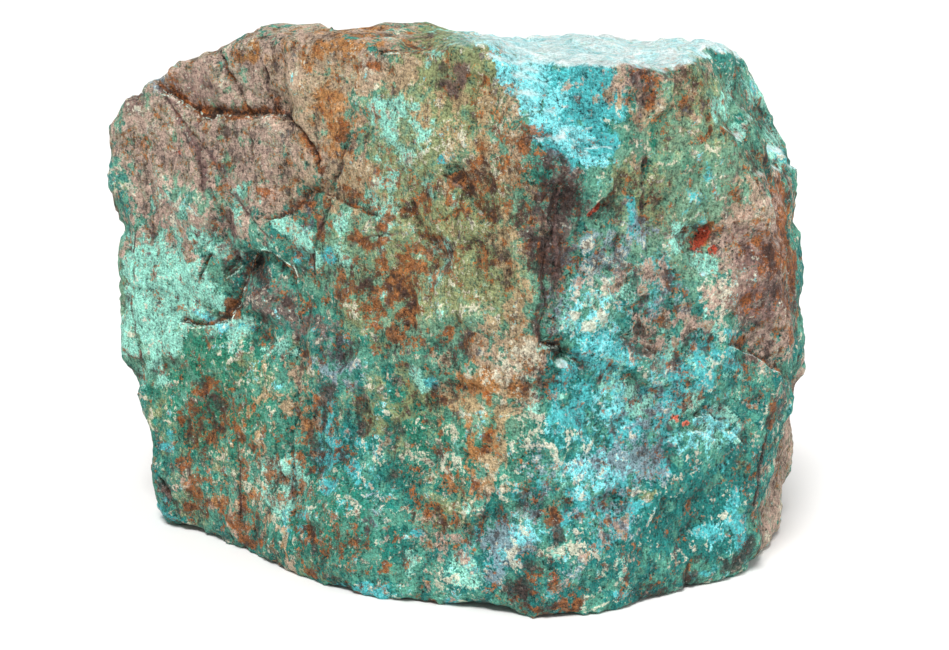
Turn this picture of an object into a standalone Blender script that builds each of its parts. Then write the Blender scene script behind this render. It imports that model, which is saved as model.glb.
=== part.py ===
"""Raw turquoise nugget: one broken block of turquoise and its brown host rock, on its flattest break.

The block is a cube that flat breaks trim and scooped flake scars bite into, with a wedge broken out of its top
front corner. Ledges step its two big front faces, and chips and lumps roughen it all over. Its underside is a
rough break whose high spots are ground flat, so that it stands. Metres, +Z up, origin in the middle of the
base. The widest way across is X, and the corner between the two big front faces points to -Y.
"""

import math

import bmesh
import bpy
import numpy as np
from mathutils import Matrix, Vector, noise

MM = 0.001
WIDTH = 120 * MM
DEPTH = 91 * MM
HEIGHT = 88 * MM
SPARE = 20 * MM  # how far the first cube stands past the finished block on each side
LEFT_FRONT = 235  # the azimuths that the two big front faces look towards
RIGHT_FRONT = -63.6
UNDERSIDE = -0.8 * MM  # where the rough underside lies before its high spots are cut flat at 0

# Flat breaks: the way each faces (azimuth from +X towards +Y, then lean above level, in degrees),
# and a point on it in millimetres.
BREAKS = {
    "left_front": (LEFT_FRONT, 1, (11.6, -42.2, 20)),
    "left_front_belly": (238, -5, (-20, -20, 30)),
    "right_front": (RIGHT_FRONT, -3.5, (11.6, -42.2, 0)),
    "right_side": (-21, -7.7, (55, -20, 32)),
    "right_shoulder": (-18, 8, (58, -12, 42)),
    "right_chamfer": (-16, 24, (50, -14, 72.5)),
    "right_top_chamfer": (-14, 42, (45.7, -16, 80.8)),
    "top": (40, 87, (0, -30, 86.2)),
    "top_left": (165, 66, (-37, -6, 83.4)),
    "top_corner": (200, 38, (-51, 0, 79.5)),
    "left_shoulder": (192, 17, (-57.8, 2, 63)),
    "left_side": (186, -3, (-55.9, 4, 45)),
    "left_foot": (190, -11, (-52.5, 4, 22)),
    "back": (97, 6, (0, 41, 40)),
    "back_right": (38, 3, (44, 26, 40)),
    "back_left": (146, -4, (-42, 30, 40)),
    "back_top": (100, 48, (0, 30, 80)),
    "back_foot": (80, -34, (10, 36, 8)),
    "right_back_top": (30, 36, (48, 20, 70)),
    "left_back_top": (150, 40, (-44, 24, 74)),
}

# Flake scars: the centre and radii of the ellipsoid that each one follows, in millimetres, and its turn
# about Z.
SCARS = {
    "left_notch": ((-62.5, 2, 51.6), (9.8, 18, 5.6), 6),
    "arris_groove": ((19.5, -45.5, 52), (3.6, 4.6, 24), 0),
    "back_scar": ((16, 56, 62), (30, 20, 24), 10),
    "back_low_scar": ((-30, 54, 22), (24, 16, 20), -25),
    "right_back_scar": ((70, 16, 30), (16, 22, 26), 0),
    "top_back_scar": ((-14, 22, 104), (26, 22, 20), 20),
}

# The wedge broken out of the top front corner: the way its floor and its wall face, as for the flat breaks.
WEDGE_CENTRE = (16, -44, 86)
WEDGE = {
    "floor": (-54.6, 34, (23.3, -41.2, 69.4)),
    "wall": (240, 3, (25.5, -40.4, 74.5)),
}

# Swells and hollows: centre and reach in millimetres, the way each moves the surface, and how far in
# millimetres.
SWELLS = {
    "left_foot": ((-15, -27, 0), (27, 20, 19), (236, 0), 9.6),
    "left_knob": ((-55, 1, 30), (6, 9, 4), (190, 0), 1.4),
    "right_foot": ((28, -37, 0), (17, 12, 15), (-64, 0), 3.4),
    "left_bulge": ((-57, 3, 38), (9, 16, 9), (190, 0), 0.3),
    "left_corner": ((-52, 1, 2), (10, 14, 8), (200, 0), 1.0),
    "wedge_floor": ((15, -40, 78), (6, 6, 7), (-54, 34), -1.1),
    "rim_dip": ((29, -31, 85), (6, 9, 7), (0, 90), -2.4),
    "middle_hollow": ((-24, -17, 43), (11, 12, 8), (235, 0), -1.5),
    "stained_hollow": ((-5, -30, 50), (9, 10, 9), (235, 0), -0.9),
    "red_pit": ((39.5, -30, 57.5), (2.6, 5, 4), (-64, 0), -1.6),
    "dark_pit": ((17.5, -41, 42), (2.4, 4, 2.2), (-64, 0), -1.3),
    "right_hollow": ((30, -35, 62), (9, 9, 14), (-64, 0), -1.2),
    "right_belly": ((38, -32, 44), (12, 10, 10), (-64, 0), 1.0),
}

# Ledges: the azimuth of the face each one steps, its line across and up that face in millimetres with the
# sunk side on the left, the depth of the step, and how far back from the line the sunk part reaches.
LEDGES = {
    "shoulder": (
        LEFT_FRONT,
        ((-48, 78), (-46, 76), (-41, 73.6), (-37.3, 72), (-36, 73.2), (-30, 73.4), (-24.5, 73.8)),
        2.6,
        15,
    ),
    "elbow": (
        LEFT_FRONT,
        ((-44.5, 37.8), (-38, 38), (-35, 39.7), (-33.4, 42), (-32.3, 45), (-29.5, 49.5)),
        1.7,
        8,
    ),
    "flake": (LEFT_FRONT, ((-22.9, 46.5), (-23.4, 49.7), (-26, 51.3), (-28.8, 52.3), (-30.7, 49)), 1.8, 12),
    "branch": (LEFT_FRONT, ((-26, 57), (-22.8, 58.5), (-19.4, 62), (-14.4, 61), (-9.9, 59.7)), 1.2, 8),
    "pit_lip": (LEFT_FRONT, ((0.9, 67.2), (3.9, 65.2), (5.4, 63)), 1.0, 4),
    "right_step": (RIGHT_FRONT, ((44, 41), (46.8, 38.8), (50.9, 36.3), (56, 31.5)), 1.7, 12),
}

LEDGE_TAPER = 2.5 * MM  # how far past its ends a ledge takes to fade out
FACE_NONE = 0.72  # how squarely the surface looks a face's way where its relief starts
FACE_FULL = 0.88  # and where it is full

CHIP = 13 * MM  # breadth of the chips
CHIP_DEPTH = 0.5  # how steeply the floors of the chips tilt
CHIP_CREASE = 4  # how sharp the creases between chips are
CHIP_SEED = 7.3
LUMP = 16 * MM
LUMP_HEIGHT = 1.1 * MM
LUMP_LAYERS = 3  # each layer's lumps are LUMP_RATIO times finer than the last
LUMP_RATIO = 2.1
GRIT = 4 * MM
GRIT_HEIGHT = 0.35 * MM
FRONT_CALM = 0.35  # the chips' height on the two big front faces, where it is 1 elsewhere

VOXEL = 1.0 * MM
WEAR_PASSES = 3  # smoothing that rounds the edges
TRIANGLES = 9300


def clear_scene():
    for old in list(bpy.data.objects):
        bpy.data.objects.remove(old)


def way(azimuth, lean):
    """The unit vector that faces that way."""
    turn, rise = math.radians(azimuth), math.radians(lean)
    return Vector((math.cos(turn) * math.cos(rise), math.sin(turn) * math.cos(rise), math.sin(rise)))


def new_object(name, bm, home):
    mesh = bpy.data.meshes.new(name)
    bm.to_mesh(mesh)
    bm.free()
    made = bpy.data.objects.new(name, mesh)
    home.objects.link(made)
    return made


def trim(bm, point, facing):
    """Cuts away what lies in front of a plane, and closes the cut."""
    cut = bmesh.ops.bisect_plane(
        bm,
        geom=bm.verts[:] + bm.edges[:] + bm.faces[:],
        plane_co=point,
        plane_no=facing,
        clear_outer=True,
    )
    rim = [part for part in cut["geom_cut"] if isinstance(part, bmesh.types.BMEdge)]
    bmesh.ops.contextual_create(bm, geom=rim)


def broken_block(home):
    """A cube trimmed by every flat break, then by the underside."""
    bm = bmesh.new()
    size = (WIDTH + 2 * SPARE, DEPTH + 2 * SPARE, HEIGHT + 2 * SPARE, 1)
    stand = Matrix.Translation((0, 0, HEIGHT / 2)) @ Matrix.Diagonal(size)
    bmesh.ops.create_cube(bm, size=1, matrix=stand)
    for azimuth, lean, point in BREAKS.values():
        trim(bm, Vector(point) * MM, way(azimuth, lean))
    trim(bm, Vector((0, 0, UNDERSIDE)), way(0, -90))
    bmesh.ops.recalc_face_normals(bm, faces=bm.faces)
    return new_object("nugget", bm, home)


def cutter(name, bm, home):
    made = new_object(name, bm, home)
    made.hide_render = True
    made.display_type = "WIRE"
    return made


def cut_away(stone, tool):
    cut = stone.modifiers.new(tool.name, "BOOLEAN")
    cut.object = tool
    cut.operation = "DIFFERENCE"


def strike_scars(stone, cutters):
    for name, (centre, radii, turn) in SCARS.items():
        bm = bmesh.new()
        bmesh.ops.create_icosphere(bm, subdivisions=4, radius=MM, matrix=Matrix.Diagonal((*radii, 1)))
        place = Matrix.Translation(Vector(centre) * MM) @ Matrix.Rotation(math.radians(turn), 4, "Z")
        bmesh.ops.transform(bm, matrix=place, verts=bm.verts)
        cut_away(stone, cutter(name, bm, cutters))


def break_wedge(stone, cutters):
    """Cuts away what lies above the wedge's floor and in front of its wall."""
    bm = bmesh.new()
    bmesh.ops.create_cube(bm, size=2 * SPARE, matrix=Matrix.Translation(Vector(WEDGE_CENTRE) * MM))
    for azimuth, lean, point in WEDGE.values():
        trim(bm, Vector(point) * MM, -way(azimuth, lean))
    bmesh.ops.recalc_face_normals(bm, faces=bm.faces)
    cut_away(stone, cutter("wedge", bm, cutters))


def settle(stone):
    """Makes the evaluated shape the object's own mesh, so that its points can be moved."""
    graph = bpy.context.evaluated_depsgraph_get()
    mesh = bpy.data.meshes.new_from_object(stone.evaluated_get(graph))
    stone.modifiers.clear()
    stone.data = mesh


def even_mesh(stone):
    grid = stone.modifiers.new("even_mesh", "REMESH")
    grid.mode = "VOXEL"
    grid.voxel_size = VOXEL
    worn = stone.modifiers.new("worn_edges", "SMOOTH")
    worn.factor = 0.5
    worn.iterations = WEAR_PASSES
    settle(stone)


def points_and_facings(mesh):
    points = np.empty(len(mesh.vertices) * 3, np.float32)
    mesh.vertices.foreach_get("co", points)
    facings = np.empty(len(mesh.vertices) * 3, np.float32)
    mesh.vertex_normals.foreach_get("vector", facings)
    return points.reshape(-1, 3).astype(float), facings.reshape(-1, 3).astype(float)


def fade(near):
    """1 where near is 0, falling smoothly to 0 where it reaches 1."""
    left = np.clip(1 - near, 0, 1)
    return left * left * (3 - 2 * left)


def on_face(facings, azimuth):
    """1 on the points that face that way, and 0 on those that face elsewhere."""
    squarely = facings @ np.array(way(azimuth, 0))
    return 1 - fade((squarely - FACE_NONE) / (FACE_FULL - FACE_NONE))


def swell(points):
    moved = np.zeros_like(points)
    for centre, reach, (azimuth, lean), height in SWELLS.values():
        away = np.linalg.norm((points - np.array(centre) * MM) / (np.array(reach) * MM), axis=1)
        moved += np.outer(np.exp(-away * away) * height * MM, way(azimuth, lean))
    return moved


def beside(spots, line):
    """How far each spot is from a line of points, whether it is on its left, and how far past its ends."""
    nearest = np.full(len(spots), np.inf)
    left = np.zeros(len(spots), bool)
    past = np.zeros(len(spots))
    for start, end in zip(line[:-1], line[1:]):
        run = end - start
        along = (spots - start) @ run / (run @ run)
        offset = spots - start - np.outer(np.clip(along, 0, 1), run)
        gap = np.linalg.norm(offset, axis=1)
        closer = gap < nearest
        nearest[closer] = gap[closer]
        left[closer] = (run[0] * offset[:, 1] - run[1] * offset[:, 0] > 0)[closer]
        over = np.maximum(np.abs(along - 0.5) - 0.5, 0) * np.linalg.norm(run)
        past[closer] = over[closer]
    return nearest, left, past


def step(points, facings):
    """Sinks the surface on one side of each ledge, most at its line."""
    moved = np.zeros_like(points)
    spots = points[:, [0, 2]]
    for azimuth, line, depth, reach in LEDGES.values():
        away, left, past = beside(spots, np.array(line) * MM)
        sunk = left * fade(away / (reach * MM)) * fade(past / LEDGE_TAPER)
        sunk *= on_face(facings, azimuth) * depth * MM
        moved -= np.outer(sunk, way(azimuth, 0))
    return moved


def chip_floor(spot):
    """The height of the chip under a spot: each floor tilts its own way, and creases where chips meet."""
    gaps, centres = noise.voronoi(spot / CHIP)
    tilt = noise.cell_vector(centres[0] * CHIP_SEED) - Vector((0.5, 0.5, 0.5))
    worn = min(1, (gaps[1] - gaps[0]) * CHIP_CREASE)
    return (spot - centres[0] * CHIP).dot(tilt) * worn


def roughen(points, facings):
    front = np.maximum(on_face(facings, LEFT_FRONT), on_face(facings, RIGHT_FRONT))
    calm = 1 - front * (1 - FRONT_CALM)
    heights = np.empty(len(points))
    for index, spot in enumerate(points):
        spot = Vector(spot)
        chip = chip_floor(spot) * CHIP_DEPTH
        lump = noise.fractal(spot / LUMP, 1.0, LUMP_RATIO, LUMP_LAYERS) * LUMP_HEIGHT
        grit = noise.noise(spot / GRIT) * GRIT_HEIGHT
        heights[index] = chip * calm[index] + lump * (1 + calm[index]) / 2 + grit
    return facings * heights[:, None]


def relief(stone):
    mesh = stone.data
    points, facings = points_and_facings(mesh)
    moved = points + swell(points) + step(points, facings) + roughen(points, facings)
    mesh.vertices.foreach_set("co", moved.astype(np.float32).ravel())
    mesh.update()


def lighten(stone):
    """Cuts the number of triangles, keeping them where the surface bends."""
    stone.data.calc_loop_triangles()
    fewer = stone.modifiers.new("fewer_triangles", "DECIMATE")
    fewer.ratio = TRIANGLES / len(stone.data.loop_triangles)
    settle(stone)


def cut_base(stone, cutters):
    """Cuts the underside's high spots flat, so that the stone rests on them."""
    bm = bmesh.new()
    below = Matrix.Translation((0, 0, -SPARE / 2)) @ Matrix.Diagonal((2 * WIDTH, 2 * DEPTH, SPARE, 1))
    bmesh.ops.create_cube(bm, size=1, matrix=below)
    cut_away(stone, cutter("bench", bm, cutters))
    settle(stone)


def centre(stone):
    """Puts the middle of the stone's box over the origin."""
    points, _ = points_and_facings(stone.data)
    middle = (points.min(axis=0) + points.max(axis=0)) / 2
    stone.data.transform(Matrix.Translation((-middle[0], -middle[1], -points[:, 2].min())))


def turquoise(stone):
    made = bpy.data.materials.new("turquoise_rock")
    made.use_nodes = True
    shader = made.node_tree.nodes["Principled BSDF"]
    shader.inputs["Base Color"].default_value = (0.17, 0.29, 0.25, 1)
    shader.inputs["Roughness"].default_value = 0.72
    shader.inputs["Metallic"].default_value = 0
    stone.data.materials.clear()
    stone.data.materials.append(made)


def main():
    clear_scene()
    home = bpy.data.collections.new("raw_turquoise_nugget")
    cutters = bpy.data.collections.new("cutters")
    for made in (home, cutters):
        bpy.context.scene.collection.children.link(made)
    stone = broken_block(home)
    strike_scars(stone, cutters)
    break_wedge(stone, cutters)
    even_mesh(stone)
    relief(stone)
    lighten(stone)
    cut_base(stone, cutters)
    centre(stone)
    turquoise(stone)


main()
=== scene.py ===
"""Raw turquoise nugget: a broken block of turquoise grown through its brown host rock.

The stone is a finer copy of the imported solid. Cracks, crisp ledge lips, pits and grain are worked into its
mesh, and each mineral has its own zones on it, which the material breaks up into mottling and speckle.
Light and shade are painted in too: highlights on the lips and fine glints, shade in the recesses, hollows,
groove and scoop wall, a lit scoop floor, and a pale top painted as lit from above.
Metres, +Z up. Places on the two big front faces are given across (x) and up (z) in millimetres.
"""

import math

import bmesh
import bpy
import numpy as np
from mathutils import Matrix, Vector, noise


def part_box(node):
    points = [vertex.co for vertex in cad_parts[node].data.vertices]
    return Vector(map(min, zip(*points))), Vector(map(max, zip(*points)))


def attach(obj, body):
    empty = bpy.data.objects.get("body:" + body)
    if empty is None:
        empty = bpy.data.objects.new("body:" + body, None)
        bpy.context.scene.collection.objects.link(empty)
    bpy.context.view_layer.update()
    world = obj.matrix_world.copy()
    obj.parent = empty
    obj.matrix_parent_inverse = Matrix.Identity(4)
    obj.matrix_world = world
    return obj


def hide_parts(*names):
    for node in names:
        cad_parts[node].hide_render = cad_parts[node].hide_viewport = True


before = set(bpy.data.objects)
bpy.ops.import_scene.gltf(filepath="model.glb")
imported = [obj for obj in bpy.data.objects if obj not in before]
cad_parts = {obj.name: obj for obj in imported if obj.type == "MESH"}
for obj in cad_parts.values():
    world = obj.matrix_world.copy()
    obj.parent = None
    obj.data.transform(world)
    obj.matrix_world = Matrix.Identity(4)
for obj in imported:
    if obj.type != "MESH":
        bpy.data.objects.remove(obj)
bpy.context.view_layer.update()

MM = 0.001
NODE = "nugget"
LOW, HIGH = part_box(NODE)
LEFT = 235  # the azimuths that the two big front faces look towards
RIGHT = -63.6
FACE_FROM = 0.62  # a face's marks start where the surface faces its way this squarely
FACE_FADE = 0.2  # and are at full strength where it does so by this much more

# ---------------------------------------------------------------- mesh

COARSE = 1.37 * MM  # spacing of points on the sides and back, halved on the front
FRONT = -0.1  # the front is where the surface's facing has a y below this
LINE_REACHES = (1.2 * MM, 0.5 * MM)  # within these of a crack or lip the mesh is halved again
SAME_POINT = 0.001 * MM
CELLS_APART = 7.3

# How each kind of mark strays from where it is drawn: the size of the bends, their seed, and how far.
# Without a seed of its own, noise_vector starts from the time and differs in each run.
noise.seed_set(5)
LIP_WANDER = (2.6 * MM, 3.0, 0.45 * MM)
CRACK_WANDER = (1.3 * MM, 5.0, 0.35 * MM)
PIT_WANDER = (2.5 * MM, 9.0, 0.6 * MM)
PATCH_WANDER = (6 * MM, 7.0, 1.8 * MM)

LIP_END = 1.2 * MM  # a lip runs out over this far past its ends
LIP_REACH = 0.7 * MM  # it stands up within this of its line
RECESS_REACH = 2.3 * MM  # and the sunk side comes back up over this far
CRACK_END = 1.5 * MM
CRACK_SPREAD = 1.4  # a crack's sides and a pit's sides run out at this many times its half width or radius
PIT_SPREAD = 1.3

SMOOTH_FROM = 67 * MM  # above this height the left front face is smoother
SMOOTH_FADE = 30 * MM  # and over this far below it roughens again
SMOOTH_SHARE = 0.45  # how much of the roughness it loses there

# Lips: the azimuth of the face, the line with its sunk side on the left, how far the lip stands up,
# and how deep the sunk side drops just behind it, in millimetres.
LIPS = {
    "shoulder": (
        LEFT,
        ((-50, 78), (-48, 76), (-45.5, 75), (-43, 73.7), (-39.3, 72), (-38, 73.1), (-32, 73.2),
         (-26.3, 73.8)),
        0.14,
        1.5,
    ),
    "elbow": (
        LEFT,
        ((-46, 37.6), (-43.8, 37.3), (-39.9, 38), (-37, 39.4), (-35.5, 41.5), (-34.2, 45)),
        0.16,
        0.9,
    ),
    "elbow_top": (LEFT, ((-34.2, 45), (-33.4, 48), (-31, 51.6)), 0.08, 0.4),
    "flake": (LEFT, ((-25, 47), (-25.5, 49.4), (-28.2, 51), (-30.8, 52), (-32.8, 48.5)), 0.12, 0.9),
    "small_lip": (LEFT, ((-37.8, 46.1), (-34.6, 48.3)), 0.12, 0.5),
    "branch": (
        LEFT,
        ((-30, 57), (-27.5, 57.3), (-24.7, 58.3), (-23.4, 60), (-21.4, 62), (-18.6, 61.6), (-16.3, 61),
         (-11.7, 59.7)),
        0.088,
        0.6,
    ),
    "pit_lip": (LEFT, ((-0.9, 66.9), (0.6, 65.9), (2.1, 65.1), (3.6, 62.9), (5.2, 61)), 0.06, 0.6),
    "pit_fork": (LEFT, ((2.1, 65.1), (1.2, 63), (-0.6, 61)), 0.06, 0.2),
    "fork": (LEFT, ((-6.1, 61.8), (-5.5, 59.3), (-4.9, 57.5), (-1, 55)), 0.06, 0.4),
    "crest_chip": (LEFT, ((-10.5, 84.6), (-8.5, 85), (-6, 85.3), (-5, 86.5)), 0.14, 0.8),
    "ridge": (RIGHT, ((12.4, 70.5), (12.1, 65), (12.5, 57.5), (12, 50), (12.6, 43.2)), 0.06, 0.5),
    "step": (RIGHT, ((43, 40), (44.9, 38.9), (49.3, 36), (54.5, 31)), 0.06, 0.6),
    "slot_lip": (RIGHT, ((13.6, 43.2), (16, 42.6), (18, 40.5), (19.5, 39)), 0.1, 0.9),
    "ripple": (RIGHT, ((26, 43), (29, 41.5), (31.5, 39.5)), 0.04, 0.4),
    "flakes_a": (RIGHT, ((38, 29), (40.5, 28.8), (42.5, 27.4)), 0.12, 0.4),
    "flakes_b": (RIGHT, ((36.5, 26.8), (39, 26.6), (41, 25)), 0.12, 0.4),
    "flakes_c": (RIGHT, ((42, 26), (44, 25.6), (45.8, 23.4)), 0.12, 0.4),
    "scoop_fold": (RIGHT, ((17.5, 73.6), (19.2, 72.8), (20.9, 71.7), (23, 72)), 0.04, 0.4),
}

# Cracks: the azimuth of the face, the line, and the crack's depth and half width in millimetres.
CRACKS = {
    "ledge_run": (LEFT, ((-26.3, 73.8), (-24, 72.1), (-22.7, 70.6), (-21.1, 68.3), (-20.4, 64)), 0.8, 0.34),
    "middle_run": (LEFT, ((-15.9, 72), (-16.6, 69.5), (-17.5, 65.4), (-19.3, 62.5)), 0.6, 0.3),
    "fork_run": (LEFT, ((-18.9, 61.3), (-19.9, 58.6), (-21.3, 55), (-22.1, 52.3), (-21.8, 49)), 0.6, 0.32),
    "rust_tee": (LEFT, ((-15.7, 54.6), (-13.7, 56.1), (-11.4, 56.7), (-8, 57.5)), 0.25, 0.35),
    "rust_tee_stem": (LEFT, ((-11.7, 60), (-11.3, 56.9), (-10.5, 52)), 0.3, 0.25),
    "short_a": (LEFT, ((-40.1, 49.9), (-41.4, 47.8), (-42.1, 46)), 0.8, 0.3),
    "short_b": (LEFT, ((-35.3, 49.6), (-37.4, 47.4)), 0.7, 0.35),
    "crest_cut": (LEFT, ((-37.6, 84), (-36.4, 81), (-34.6, 77.5), (-32.9, 74)), 0.7, 0.3),
    "crest_cut_b": (LEFT, ((-29.4, 81), (-29.2, 77.5), (-28.8, 74)), 0.5, 0.25),
    "vein_a": (
        LEFT,
        ((-47.3, 75.1), (-45.3, 72.4), (-43.2, 70.4), (-41.9, 68.4), (-41.4, 65.5), (-41.4, 60.5)),
        0.35,
        0.3,
    ),
    "vein_b": (
        LEFT,
        ((-41.8, 68.5), (-39.4, 66.5), (-37.9, 63.5), (-36.4, 60.8), (-32.5, 57), (-29.5, 54)),
        0.3,
        0.28,
    ),
    "vein_c": (LEFT, ((-39.6, 61), (-38, 57), (-37.2, 52.5)), 0.3, 0.28),
    "fine_a": (LEFT, ((-32.6, 72), (-32.2, 69), (-32, 65.5)), 0.4, 0.22),
    "edge_a": (LEFT, ((-53.8, 53), (-54.8, 49), (-54.5, 44)), 0.5, 0.25),
    "edge_b": (LEFT, ((-55.6, 40), (-55, 35), (-53.8, 29)), 0.4, 0.25),
    "plumb": (LEFT, ((-26.2, 23), (-25.9, 18), (-25.8, 10)), 0.9, 0.3),
    "plumb_b": (LEFT, ((-28.4, 18), (-27.4, 14.5)), 0.6, 0.26),
    "plumb_c": (LEFT, ((-36.2, 20), (-35.6, 14), (-35.8, 6)), 0.5, 0.3),
    "slot": (LEFT, ((-51.3, 9.4), (-50.2, 7.6), (-49.6, 6.4)), 1.0, 0.4),
    "corner": (RIGHT, ((14.4, 58), (13.2, 53.5), (14.1, 49), (12.7, 46), (13.2, 43.4)), 0.45, 0.3),
    "streak_a": (RIGHT, ((18.6, 69), (18.1, 62), (18.8, 54)), 0.3, 0.3),
    "streak_b": (RIGHT, ((15.8, 68), (15.1, 60), (15.8, 50)), 0.3, 0.3),
    "band": (RIGHT, ((50, 24), (49.4, 18), (48.5, 12)), 0.5, 0.3),
    "brow_cut": (RIGHT, ((28.6, 70), (28.2, 66), (28.5, 62)), 0.4, 0.3),
}

# Pits: the azimuth of the face, the middle, the radius and the depth in millimetres.
PITS = {
    "red": (RIGHT, (37.6, 57), 2.2, 1.1),
    "red_small": (RIGHT, (22, 64), 1.0, 0.6),
    "slot": (RIGHT, (16.6, 41), 1.5, 1.5),
    "slot_low": (RIGHT, (16.4, 38.4), 0.6, 0.7),
    "brown": (RIGHT, (29, 44.4), 0.9, 0.6),
    "rust": (LEFT, (-36.6, 42), 1.9, 0.8),
    "chip": (LEFT, (-48.6, 44.2), 0.9, 0.4),
    "brow": (LEFT, (1.2, 67.6), 1.6, 0.7),
}


def line_of(points):
    return np.array(points, float) * MM


def beside(spots, line):
    """How far each spot is from a line of points, whether it is on its left, and how far past its ends."""
    nearest = np.full(len(spots), np.inf)
    left = np.zeros(len(spots), bool)
    past = np.zeros(len(spots))
    for start, end in zip(line[:-1], line[1:]):
        run = end - start
        along = (spots - start) @ run / (run @ run)
        offset = spots - start - np.outer(np.clip(along, 0, 1), run)
        gap = np.linalg.norm(offset, axis=1)
        closer = gap < nearest
        nearest[closer] = gap[closer]
        left[closer] = (run[0] * offset[:, 1] - run[1] * offset[:, 0] > 0)[closer]
        past[closer] = (np.maximum(np.abs(along - 0.5) - 0.5, 0) * np.linalg.norm(run))[closer]
    return nearest, left, past


def fade(near):
    """1 where near is 0, falling smoothly to 0 where it reaches 1."""
    left = np.clip(1 - near, 0, 1)
    return left * left * (3 - 2 * left)


def heading(azimuth):
    turn = math.radians(azimuth)
    return np.array((math.cos(turn), math.sin(turn), 0))


def on_face(facings, azimuth):
    """1 on the points that face that way, and 0 on those that face elsewhere."""
    return 1 - fade((facings @ heading(azimuth) - FACE_FROM) / FACE_FADE)


def triples(items, name):
    values = np.empty(len(items) * 3, np.float32)
    items.foreach_get(name, values)
    return values.reshape(-1, 3).astype(float)


def points_of(mesh):
    return triples(mesh.vertices, "co")


def facings_of(mesh):
    return triples(mesh.vertex_normals, "vector")


def place(mesh, points):
    mesh.vertices.foreach_set("co", points.astype(np.float32).ravel())
    mesh.update()


def wandering(points, size, seed, reach):
    """The points' places across and up, pushed about smoothly, so that drawn lines don't run straight."""
    shift = Vector((seed, -seed, 2.0 * seed))
    pushes = np.array([noise.noise_vector(Vector(spot) / size + shift)[:] for spot in points])
    return (points + reach * pushes)[:, [0, 2]]


def along_lines(lines, wander, run_out, points, facings):
    """For each line its own two sizes, how far each point is from it, whether the point is on its left, and
    the share of it that the point takes: none on other faces, and less and less past the line's ends."""
    spots = wandering(points, *wander)
    for azimuth, line, *sizes in lines.values():
        away, left, past = beside(spots, line_of(line))
        yield sizes, away, left, fade(past / run_out) * on_face(facings, azimuth)


def fractal(points, size, octaves, seed, weaker=1.0, finer=2.1):
    """Cloudy noise, where each octave is that much weaker and that many times finer than the last."""
    shift = Vector((seed, 1.7 * seed, -seed))
    return np.array([noise.fractal(Vector(spot) / size + shift, weaker, finer, octaves) for spot in points])


def chips(points, size, seed, crease=0.2):
    """Floors that each tilt their own way and crease where they meet, like a rough break. CELLS_APART keeps
    two floors whose middles are close from being given the same tilt."""
    shift = Vector((seed, seed, seed))
    heights = np.empty(len(points))
    for index, spot in enumerate(points):
        spot = Vector(spot) / size + shift
        gaps, centres = noise.voronoi(spot)
        tilt = noise.cell_vector(centres[0] * CELLS_APART) - Vector((0.5, 0.5, 0.5))
        heights[index] = (spot - centres[0]).dot(tilt) * min(1, (gaps[1] - gaps[0]) / crease)
    return heights


def copy_of_solid(name):
    """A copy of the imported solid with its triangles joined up, and then an even, fine mesh."""
    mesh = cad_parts[NODE].data.copy()
    bm = bmesh.new()
    bm.from_mesh(mesh)
    bmesh.ops.remove_doubles(bm, verts=bm.verts, dist=SAME_POINT)
    bm.to_mesh(mesh)
    bm.free()
    stone = bpy.data.objects.new(name, mesh)
    bpy.context.scene.collection.objects.link(stone)
    grid = stone.modifiers.new("even_mesh", "REMESH")
    grid.mode = "VOXEL"
    grid.voxel_size = COARSE
    graph = bpy.context.evaluated_depsgraph_get()
    even = bpy.data.meshes.new_from_object(stone.evaluated_get(graph))
    stone.modifiers.clear()
    stone.data = even
    return stone


def near_marks(points, reach):
    """True on the points that a crack, a lip or a pit's rim passes close by."""
    spots = points[:, [0, 2]]
    near = np.zeros(len(points), bool)
    for _, line, *_ in [*LIPS.values(), *CRACKS.values()]:
        near |= beside(spots, line_of(line))[0] < reach
    for _, middle, radius, _ in PITS.values():
        near |= np.linalg.norm(spots - line_of(middle), axis=1) < radius * MM + reach
    return near


def refine(mesh, chosen):
    """Cuts in two every edge whose ends are both chosen."""
    bm = bmesh.new()
    bm.from_mesh(mesh)
    picked = [edge for edge in bm.edges if all(chosen[corner.index] for corner in edge.verts)]
    bmesh.ops.subdivide_edges(bm, edges=picked, cuts=1, use_grid_fill=True)
    bm.to_mesh(mesh)
    bm.free()


def soften(mesh, times):
    bm = bmesh.new()
    bm.from_mesh(mesh)
    every_way = {"use_axis_x": True, "use_axis_y": True, "use_axis_z": True}
    for _ in range(times):
        bmesh.ops.smooth_vert(bm, verts=bm.verts, factor=0.5, **every_way)
    bm.to_mesh(mesh)
    bm.free()


def lip_heights(points, facings):
    """The rise of each lip, and the drop behind it, along the way the surface faces."""
    heights = np.zeros(len(points))
    for (rise, drop), away, left, share in along_lines(LIPS, LIP_WANDER, LIP_END, points, facings):
        lip = ~left * fade(away / LIP_REACH) * rise
        recess = left * fade(away / RECESS_REACH) * drop
        heights += share * (lip - recess) * MM
    return heights


def crack_heights(points, facings):
    heights = np.zeros(len(points))
    for (depth, width), away, _, share in along_lines(CRACKS, CRACK_WANDER, CRACK_END, points, facings):
        heights -= share * fade(away / (CRACK_SPREAD * width * MM)) * depth * MM
    return heights


def pit_heights(points, facings):
    spots = wandering(points, *PIT_WANDER)
    heights = np.zeros(len(points))
    for azimuth, middle, radius, depth in PITS.values():
        away = np.linalg.norm(spots - line_of(middle), axis=1)
        heights -= fade(away / (PIT_SPREAD * radius * MM)) * on_face(facings, azimuth) * depth * MM
    return heights


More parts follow.
